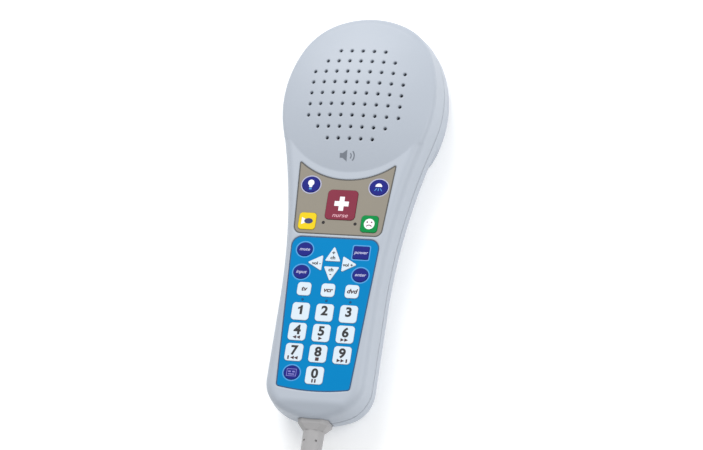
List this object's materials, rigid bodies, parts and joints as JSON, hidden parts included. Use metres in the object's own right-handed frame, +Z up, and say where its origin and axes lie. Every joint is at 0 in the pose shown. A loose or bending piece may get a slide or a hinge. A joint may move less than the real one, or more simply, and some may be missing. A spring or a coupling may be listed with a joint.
{
  "type": "pillow speaker handset",
  "caption": "Bedside pillow speaker and nurse-call handset with a domed round speaker head, keypads of oval, square and arrow keys, and a cord with a moulded strain relief.",
  "frame": {"origin": "centre of the housing footprint, on the surface that its back lies on", "axes": "+Z up out of the key face, +Y along the handset towards the speaker head, +X to the right of the key face"},
  "size_m": [0.1119, 0.4352, 0.0342],
  "materials": {
    "housing": "fine-textured pale blue-grey moulded ABS",
    "seal": "soft grey elastomer",
    "overlay_upper": "satin printed tan polyester",
    "overlay_lower": "satin printed blue polyester",
    "key_navy": "smooth silicone, navy with a printed legend",
    "key_white": "smooth silicone, bluish white with a printed legend",
    "key_maroon": "smooth silicone, maroon with a printed legend",
    "key_yellow": "smooth silicone, yellow with a printed legend",
    "key_green": "smooth silicone, green with a printed legend",
    "lamp": "clear tinted light guide",
    "lamp_blue": "dark blue tinted light guide",
    "dome_metal": "stamped stainless steel",
    "board": "green solder mask",
    "chip": "black epoxy",
    "header": "natural nylon",
    "speaker_steel": "black painted pressed steel",
    "magnet": "sintered ferrite",
    "cone": "coated paper",
    "coil_wire": "enamelled copper",
    "foam": "closed-cell foam",
    "cloth": "fine black acoustic cloth",
    "wire": "PVC insulation",
    "screw_steel": "zinc-plated steel",
    "relief": "flexible grey moulded PVC",
    "cord_jacket": "smooth grey PVC jacket",
    "plug_plastic": "grey overmoulded PVC",
    "plug_metal": "nickel-plated shell",
    "insert": "black glass-filled nylon",
    "pin_brass": "gold-flashed contacts",
    "tie": "black hook-and-loop strap",
    "label": "matte white film, blank"
  },
  "bodies": {
    "handset": {"acoustic_cloth": "cloth", "board_chips": "chip", "call_lamps": "lamp", "circuit_board": "board", "coil_tie": "tie", "cord": "cord_jacket", "cord_coil": "cord_jacket", "cord_header": "header", "cord_tail": "cord_jacket", "cord_wires": "wire", "cover_screws": "screw_steel", "cover_seal": "seal", "dust_cap": "cone", "front_cover": "housing", "inner_screws": "screw_steel", "key_domes": "dome_metal", "lower_overlay": "overlay_lower", "mode_lamps": "lamp_blue", "plug_body": "plug_plastic", "plug_insert": "insert", "plug_pins": "pin_brass", "plug_shell": "plug_metal", "rear_cover": "housing", "rear_label": "label", "speaker_cone": "cone", "speaker_frame": "speaker_steel", "speaker_gasket": "foam", "speaker_leads": "wire", "speaker_magnet": "magnet", "speaker_retainer": "screw_steel", "strain_relief": "relief", "upper_overlay": "overlay_upper", "voice_coil": "coil_wire"},
    "key_0_cap": {"key_0": "key_white"},
    "key_1_cap": {"key_1": "key_white"},
    "key_2_cap": {"key_2": "key_white"},
    "key_3_cap": {"key_3": "key_white"},
    "key_4_cap": {"key_4": "key_white"},
    "key_5_cap": {"key_5": "key_white"},
    "key_6_cap": {"key_6": "key_white"},
    "key_7_cap": {"key_7": "key_white"},
    "key_8_cap": {"key_8": "key_white"},
    "key_9_cap": {"key_9": "key_white"},
    "key_captions_cap": {"key_captions": "key_navy"},
    "key_channel_down_cap": {"key_channel_down": "key_white"},
    "key_channel_up_cap": {"key_channel_up": "key_white"},
    "key_disc_cap": {"key_disc": "key_white"},
    "key_enter_cap": {"key_enter": "key_navy"},
    "key_input_cap": {"key_input": "key_navy"},
    "key_lamp_cap": {"key_lamp": "key_yellow"},
    "key_mute_cap": {"key_mute": "key_navy"},
    "key_nurse_cap": {"key_nurse": "key_maroon"},
    "key_pain_cap": {"key_pain": "key_green"},
    "key_power_cap": {"key_power": "key_navy"},
    "key_reading_light_cap": {"key_reading_light": "key_navy"},
    "key_room_light_cap": {"key_room_light": "key_navy"},
    "key_tape_cap": {"key_tape": "key_white"},
    "key_tv_cap": {"key_tv": "key_white"},
    "key_volume_down_cap": {"key_volume_down": "key_white"},
    "key_volume_up_cap": {"key_volume_up": "key_white"}
  },
  "joints": [
    {"name": "key_0_press", "type": "slide", "parent": "handset", "child": "key_0_cap", "axis": [0, 0, -1], "range_m": [0, 0.0004], "stiffness_N_per_m": 2500},
    {"name": "key_1_press", "type": "slide", "parent": "handset", "child": "key_1_cap", "axis": [0, 0, -1], "range_m": [0, 0.0004], "stiffness_N_per_m": 2500},
    {"name": "key_2_press", "type": "slide", "parent": "handset", "child": "key_2_cap", "axis": [0, 0, -1], "range_m": [0, 0.0004], "stiffness_N_per_m": 2500},
    {"name": "key_3_press", "type": "slide", "parent": "handset", "child": "key_3_cap", "axis": [0, 0, -1], "range_m": [0, 0.0004], "stiffness_N_per_m": 2500},
    {"name": "key_4_press", "type": "slide", "parent": "handset", "child": "key_4_cap", "axis": [0, 0, -1], "range_m": [0, 0.0004], "stiffness_N_per_m": 2500},
    {"name": "key_5_press", "type": "slide", "parent": "handset", "child": "key_5_cap", "axis": [0, 0, -1], "range_m": [0, 0.0004], "stiffness_N_per_m": 2500},
    {"name": "key_6_press", "type": "slide", "parent": "handset", "child": "key_6_cap", "axis": [0, 0, -1], "range_m": [0, 0.0004], "stiffness_N_per_m": 2500},
    {"name": "key_7_press", "type": "slide", "parent": "handset", "child": "key_7_cap", "axis": [0, 0, -1], "range_m": [0, 0.0004], "stiffness_N_per_m": 2500},
    {"name": "key_8_press", "type": "slide", "parent": "handset", "child": "key_8_cap", "axis": [0, 0, -1], "range_m": [0, 0.0004], "stiffness_N_per_m": 2500},
    {"name": "key_9_press", "type": "slide", "parent": "handset", "child": "key_9_cap", "axis": [0, 0, -1], "range_m": [0, 0.0004], "stiffness_N_per_m": 2500},
    {"name": "key_captions_press", "type": "slide", "parent": "handset", "child": "key_captions_cap", "axis": [0, 0, -1], "range_m": [0, 0.0004], "stiffness_N_per_m": 2500},
    {"name": "key_channel_down_press", "type": "slide", "parent": "handset", "child": "key_channel_down_cap", "axis": [0, 0, -1], "range_m": [0, 0.0004], "stiffness_N_per_m": 2500},
    {"name": "key_channel_up_press", "type": "slide", "parent": "handset", "child": "key_channel_up_cap", "axis": [0, 0, -1], "range_m": [0, 0.0004], "stiffness_N_per_m": 2500},
    {"name": "key_disc_press", "type": "slide", "parent": "handset", "child": "key_disc_cap", "axis": [0, 0, -1], "range_m": [0, 0.0004], "stiffness_N_per_m": 2500},
    {"name": "key_enter_press", "type": "slide", "parent": "handset", "child": "key_enter_cap", "axis": [0, 0, -1], "range_m": [0, 0.0004], "stiffness_N_per_m": 2500},
    {"name": "key_input_press", "type": "slide", "parent": "handset", "child": "key_input_cap", "axis": [0, 0, -1], "range_m": [0, 0.0004], "stiffness_N_per_m": 2500},
    {"name": "key_lamp_press", "type": "slide", "parent": "handset", "child": "key_lamp_cap", "axis": [0, 0, -1], "range_m": [0, 0.0004], "stiffness_N_per_m": 2500},
    {"name": "key_mute_press", "type": "slide", "parent": "handset", "child": "key_mute_cap", "axis": [0, 0, -1], "range_m": [0, 0.0004], "stiffness_N_per_m": 2500},
    {"name": "key_nurse_press", "type": "slide", "parent": "handset", "child": "key_nurse_cap", "axis": [0, 0, -1], "range_m": [0, 0.0004], "stiffness_N_per_m": 2500},
    {"name": "key_pain_press", "type": "slide", "parent": "handset", "child": "key_pain_cap", "axis": [0, 0, -1], "range_m": [0, 0.0004], "stiffness_N_per_m": 2500},
    {"name": "key_power_press", "type": "slide", "parent": "handset", "child": "key_power_cap", "axis": [0, 0, -1], "range_m": [0, 0.0004], "stiffness_N_per_m": 2500},
    {"name": "key_reading_light_press", "type": "slide", "parent": "handset", "child": "key_reading_light_cap", "axis": [0, 0, -1], "range_m": [0, 0.0004], "stiffness_N_per_m": 2500},
    {"name": "key_room_light_press", "type": "slide", "parent": "handset", "child": "key_room_light_cap", "axis": [0, 0, -1], "range_m": [0, 0.0004], "stiffness_N_per_m": 2500},
    {"name": "key_tape_press", "type": "slide", "parent": "handset", "child": "key_tape_cap", "axis": [0, 0, -1], "range_m": [0, 0.0004], "stiffness_N_per_m": 2500},
    {"name": "key_tv_press", "type": "slide", "parent": "handset", "child": "key_tv_cap", "axis": [0, 0, -1], "range_m": [0, 0.0004], "stiffness_N_per_m": 2500},
    {"name": "key_volume_down_press", "type": "slide", "parent": "handset", "child": "key_volume_down_cap", "axis": [0, 0, -1], "range_m": [0, 0.0004], "stiffness_N_per_m": 2500},
    {"name": "key_volume_up_press", "type": "slide", "parent": "handset", "child": "key_volume_up_cap", "axis": [0, 0, -1], "range_m": [0, 0.0004], "stiffness_N_per_m": 2500}
  ]
}
